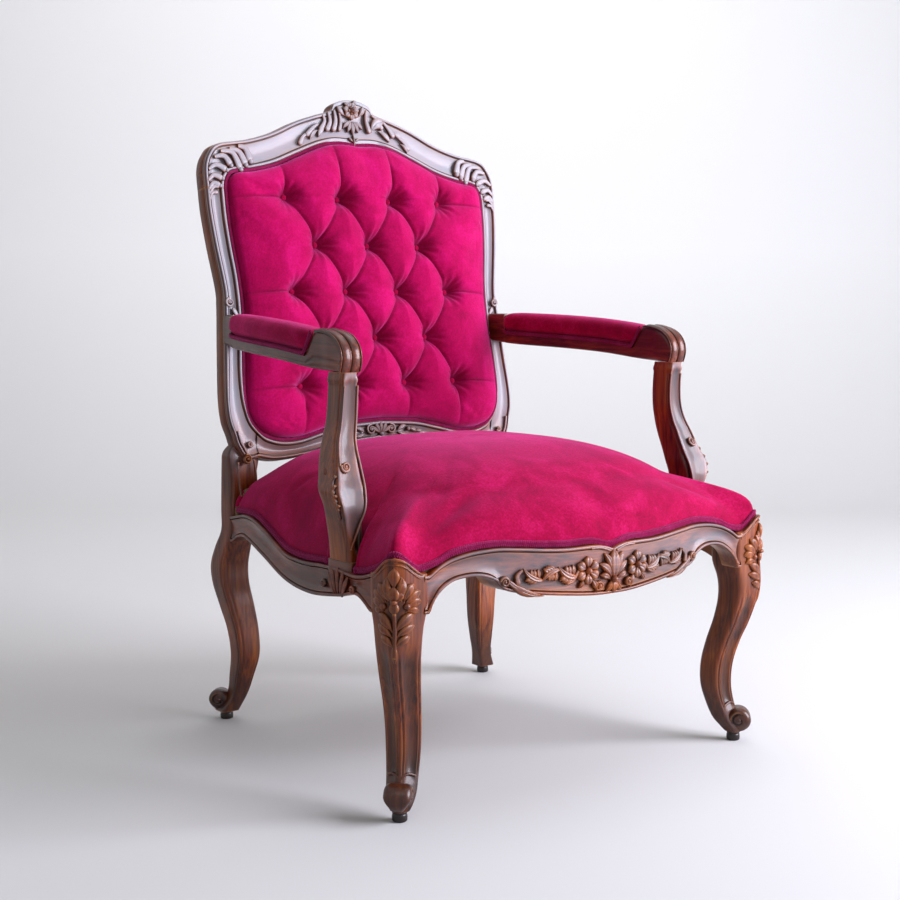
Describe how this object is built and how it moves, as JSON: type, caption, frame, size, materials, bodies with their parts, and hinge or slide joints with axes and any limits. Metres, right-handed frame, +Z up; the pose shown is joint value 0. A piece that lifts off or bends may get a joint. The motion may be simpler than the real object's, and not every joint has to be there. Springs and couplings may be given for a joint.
{
  "type": "upholstered armchair",
  "caption": "Open-arm upholstered armchair: carved wooden frame on cabriole legs, a high sprung seat, padded arms and a deep-buttoned back.",
  "frame": {"origin": "on the floor, under the middle of the chair's overall box", "axes": "+Z up, the chair faces -Y, +X is to the right as seen from the front"},
  "size_m": [0.7138, 0.7084, 1.03],
  "materials": {
    "carved_wood": "carved, stained dark and polished",
    "peg_wood": "turned and stained dark",
    "beech": "bare",
    "steel": "bright",
    "jute": "woven",
    "stuffing": "matted hair and fibre",
    "velvet": "cotton velvet with a short pile",
    "gimp": "braided trimming"
  },
  "bodies": {
    "root": {"foot_pegs": "peg_wood", "front_leg_left": "carved_wood", "front_leg_right": "carved_wood", "rear_leg_left": "carved_wood", "rear_leg_right": "carved_wood", "front_seat_rail": "carved_wood", "side_seat_rail_left": "carved_wood", "side_seat_rail_right": "carved_wood", "rear_seat_rail": "carved_wood", "corner_blocks": "beech", "corner_block_screws": "steel", "crest_rail": "carved_wood", "crest_dowels": "beech", "lower_back_rail": "carved_wood", "arm_post_left": "carved_wood", "arm_post_right": "carved_wood", "post_screws": "steel", "arm_left": "carved_wood", "arm_right": "carved_wood", "arm_screws": "steel", "arm_screw_plugs": "carved_wood", "arm_pad_left": "velvet", "arm_pad_right": "velvet", "arm_gimps": "gimp", "seat_webbing": "jute", "webbing_tacks": "steel", "seat_springs": "steel", "seat_hessian": "jute", "seat_stuffing": "stuffing", "seat_cover": "velvet", "seat_gimp": "gimp", "back_webbing": "jute", "back_hessian": "jute", "back_pad": "velvet", "back_buttons": "velvet", "back_gimp": "gimp", "outside_back_cover": "velvet", "outside_back_gimp": "gimp"}
  },
  "joints": []
}
